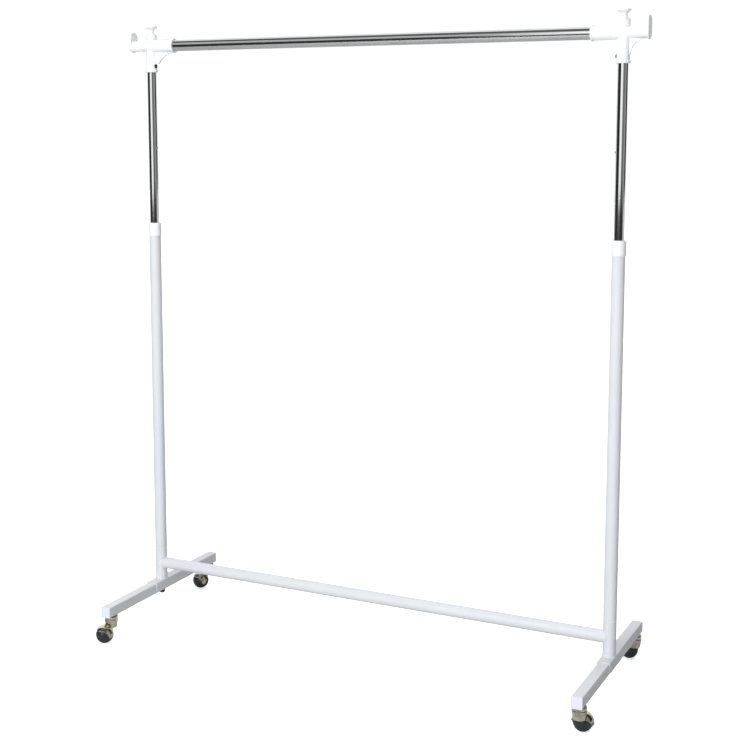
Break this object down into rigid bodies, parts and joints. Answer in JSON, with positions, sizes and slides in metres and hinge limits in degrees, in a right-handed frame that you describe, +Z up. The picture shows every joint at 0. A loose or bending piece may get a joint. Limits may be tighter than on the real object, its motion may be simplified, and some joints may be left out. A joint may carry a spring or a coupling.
{
  "type": "rolling clothes rack",
  "caption": "Height-adjustable rolling clothes rack: white telescoping posts on wheeled feet, chrome hanging bar, moulded end brackets with short hook arms.",
  "frame": {"origin": "on the floor, midway between the two posts and midway along the feet", "axes": "+X along the hanging bar from the left post to the right, +Y to the back, +Z up"},
  "size_m": [1.412, 0.5564, 1.626],
  "materials": {
    "white_powder_coat": "smooth satin powder coat",
    "white_plastic": "moulded, semi-gloss",
    "chrome_plate": "bright polished",
    "nickel_plate": "warm bright nickel",
    "zinc_steel": "zinc plated",
    "black_steel": "black oxide",
    "spring_steel": "bare spring steel",
    "button_steel": "polished",
    "grey_plastic": "moulded",
    "black_rubber": "matt, slightly polished by rolling"
  },
  "bodies": {
    "base": {"left_foot_tube": "white_powder_coat", "left_saddle": "white_powder_coat", "left_lower_post": "white_powder_coat", "left_post_spigot": "zinc_steel", "left_outer_post": "white_powder_coat", "left_collar": "white_plastic", "left_front_foot_cap": "white_plastic", "left_rear_foot_cap": "white_plastic", "right_foot_tube": "white_powder_coat", "right_saddle": "white_powder_coat", "right_lower_post": "white_powder_coat", "right_post_spigot": "zinc_steel", "right_outer_post": "white_powder_coat", "right_collar": "white_plastic", "right_front_foot_cap": "white_plastic", "right_rear_foot_cap": "white_plastic", "foot_bolts": "zinc_steel", "foot_washers": "zinc_steel", "foot_nuts": "black_steel", "lower_crossbar": "white_powder_coat", "left_front_caster_stem": "zinc_steel", "left_rear_caster_stem": "zinc_steel", "right_front_caster_stem": "zinc_steel", "right_rear_caster_stem": "zinc_steel"},
    "upper_frame": {"left_inner_post": "chrome_plate", "left_post_glide": "white_plastic", "left_bracket": "white_plastic", "left_lower_snap_spring": "spring_steel", "left_upper_snap_spring": "spring_steel", "right_inner_post": "chrome_plate", "right_post_glide": "white_plastic", "right_bracket": "white_plastic", "right_lower_snap_spring": "spring_steel", "right_upper_snap_spring": "spring_steel", "top_bar": "chrome_plate", "bracket_screws": "black_steel"},
    "left_lower_button": {"left_lower_button": "button_steel"},
    "left_upper_button": {"left_upper_button": "button_steel"},
    "right_lower_button": {"right_lower_button": "button_steel"},
    "right_upper_button": {"right_upper_button": "button_steel"},
    "left_front_swivel": {"left_front_caster_hood": "nickel_plate", "left_front_axle": "nickel_plate"},
    "left_front_wheel": {"left_front_wheel_core": "grey_plastic", "left_front_tyre": "black_rubber"},
    "left_rear_swivel": {"left_rear_caster_hood": "nickel_plate", "left_rear_axle": "nickel_plate"},
    "left_rear_wheel": {"left_rear_wheel_core": "grey_plastic", "left_rear_tyre": "black_rubber"},
    "right_front_swivel": {"right_front_caster_hood": "nickel_plate", "right_front_axle": "nickel_plate"},
    "right_front_wheel": {"right_front_wheel_core": "grey_plastic", "right_front_tyre": "black_rubber"},
    "right_rear_swivel": {"right_rear_caster_hood": "nickel_plate", "right_rear_axle": "nickel_plate"},
    "right_rear_wheel": {"right_rear_wheel_core": "grey_plastic", "right_rear_tyre": "black_rubber"}
  },
  "joints": [
    {"name": "height_slide", "type": "slide", "parent": "base", "child": "upper_frame", "axis": [0, 0, 1], "range_m": [-0.4, 0]},
    {"name": "left_lower_button_press", "type": "slide", "parent": "upper_frame", "child": "left_lower_button", "axis": [-1, 0, 0], "range_m": [0, 0.002], "stiffness_N_per_m": 1500, "springref_m": -0.002, "deforming": ["left_lower_snap_spring"]},
    {"name": "left_upper_button_press", "type": "slide", "parent": "upper_frame", "child": "left_upper_button", "axis": [-1, 0, 0], "range_m": [0, 0.002], "stiffness_N_per_m": 1500, "springref_m": -0.002, "deforming": ["left_upper_snap_spring"]},
    {"name": "right_lower_button_press", "type": "slide", "parent": "upper_frame", "child": "right_lower_button", "axis": [1, 0, 0], "range_m": [0, 0.002], "stiffness_N_per_m": 1500, "springref_m": -0.002, "deforming": ["right_lower_snap_spring"]},
    {"name": "right_upper_button_press", "type": "slide", "parent": "upper_frame", "child": "right_upper_button", "axis": [1, 0, 0], "range_m": [0, 0.002], "stiffness_N_per_m": 1500, "springref_m": -0.002, "deforming": ["right_upper_snap_spring"]},
    {"name": "left_front_swivel_turn", "type": "hinge", "parent": "base", "child": "left_front_swivel", "pos_m": [-0.645, -0.237, 0.066], "axis": [0, 0, 1], "continuous": true},
    {"name": "left_front_wheel_roll", "type": "hinge", "parent": "left_front_swivel", "child": "left_front_wheel", "pos_m": [-0.6512, -0.25863, 0.023], "axis": [0.9613, -0.2756, 0], "continuous": true},
    {"name": "left_rear_swivel_turn", "type": "hinge", "parent": "base", "child": "left_rear_swivel", "pos_m": [-0.645, 0.237, 0.066], "axis": [0, 0, 1], "continuous": true},
    {"name": "left_rear_wheel_roll", "type": "hinge", "parent": "left_rear_swivel", "child": "left_rear_wheel", "pos_m": [-0.65822, 0.2188, 0.023], "axis": [0.809, -0.5878, 0], "continuous": true},
    {"name": "right_front_swivel_turn", "type": "hinge", "parent": "base", "child": "right_front_swivel", "pos_m": [0.645, -0.237, 0.066], "axis": [0, 0, 1], "continuous": true},
    {"name": "right_front_wheel_roll", "type": "hinge", "parent": "right_front_swivel", "child": "right_front_wheel", "pos_m": [0.64696, -0.21459, 0.023], "axis": [-0.9962, 0.0872, 0], "continuous": true},
    {"name": "right_rear_swivel_turn", "type": "hinge", "parent": "base", "child": "right_rear_swivel", "pos_m": [0.645, 0.237, 0.066], "axis": [0, 0, 1], "continuous": true},
    {"name": "right_rear_wheel_roll", "type": "hinge", "parent": "right_rear_swivel", "child": "right_rear_wheel", "pos_m": [0.62802, 0.25176, 0.023], "axis": [-0.6561, -0.7547, 0], "continuous": true}
  ]
}
